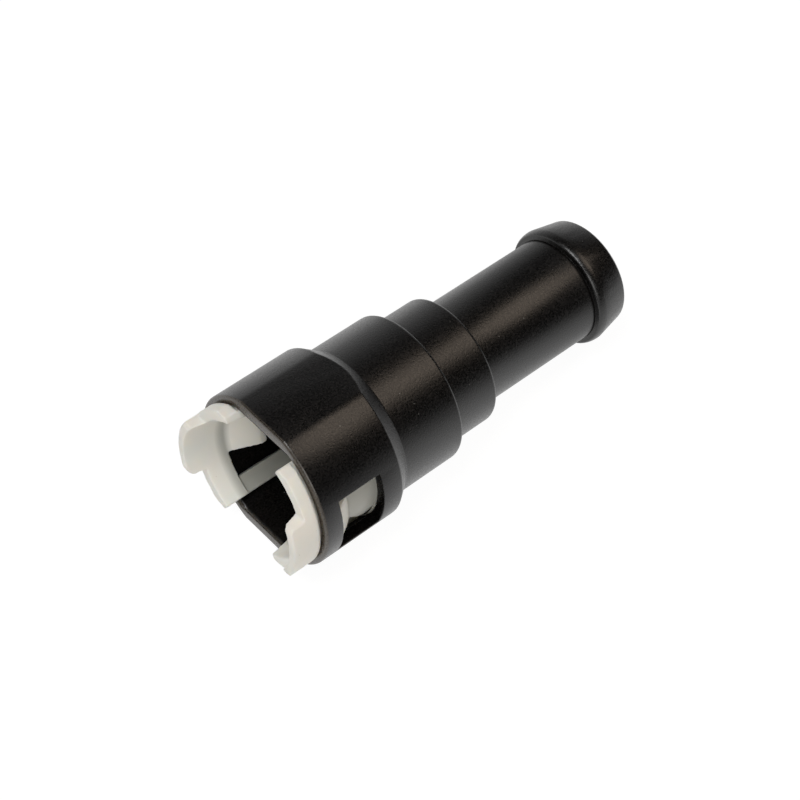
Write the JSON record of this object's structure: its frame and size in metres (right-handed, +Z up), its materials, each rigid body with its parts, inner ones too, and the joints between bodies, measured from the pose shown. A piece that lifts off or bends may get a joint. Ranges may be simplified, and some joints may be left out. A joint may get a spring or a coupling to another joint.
{
  "type": "hose connector",
  "caption": "Straight quick-connect heater hose connector: a windowed socket with a squeeze-to-release retainer steps down to a beaded hose stem.",
  "frame": {"origin": "bottom centre of the bounding box, on the surface that the connector lies on", "axes": "+X along the connector from the socket towards the beaded end (the connector's own axis falls 4.3 degrees below +X as it rests), +Y across it towards the far window, +Z up"},
  "size_m": [0.0778, 0.031, 0.0302],
  "materials": {
    "body": "satin black moulded nylon with a fine speckle",
    "retainer": "slightly translucent off-white moulded nylon",
    "ring_bushing": "satin dark moulded plastic",
    "o_ring_front": "lubricated black rubber",
    "ring_spacer": "satin dark moulded plastic",
    "o_ring_rear": "lubricated black rubber"
  },
  "bodies": {
    "housing": {"body": "body", "ring_bushing": "ring_bushing", "o_ring_front": "o_ring_front", "ring_spacer": "ring_spacer", "o_ring_rear": "o_ring_rear"},
    "retainer": {"retainer": "retainer"}
  },
  "joints": [
    {"name": "retainer_float", "type": "slide", "parent": "housing", "child": "retainer", "axis": [0.9972, 0, -0.075], "range_m": [0, 0.0002]}
  ]
}
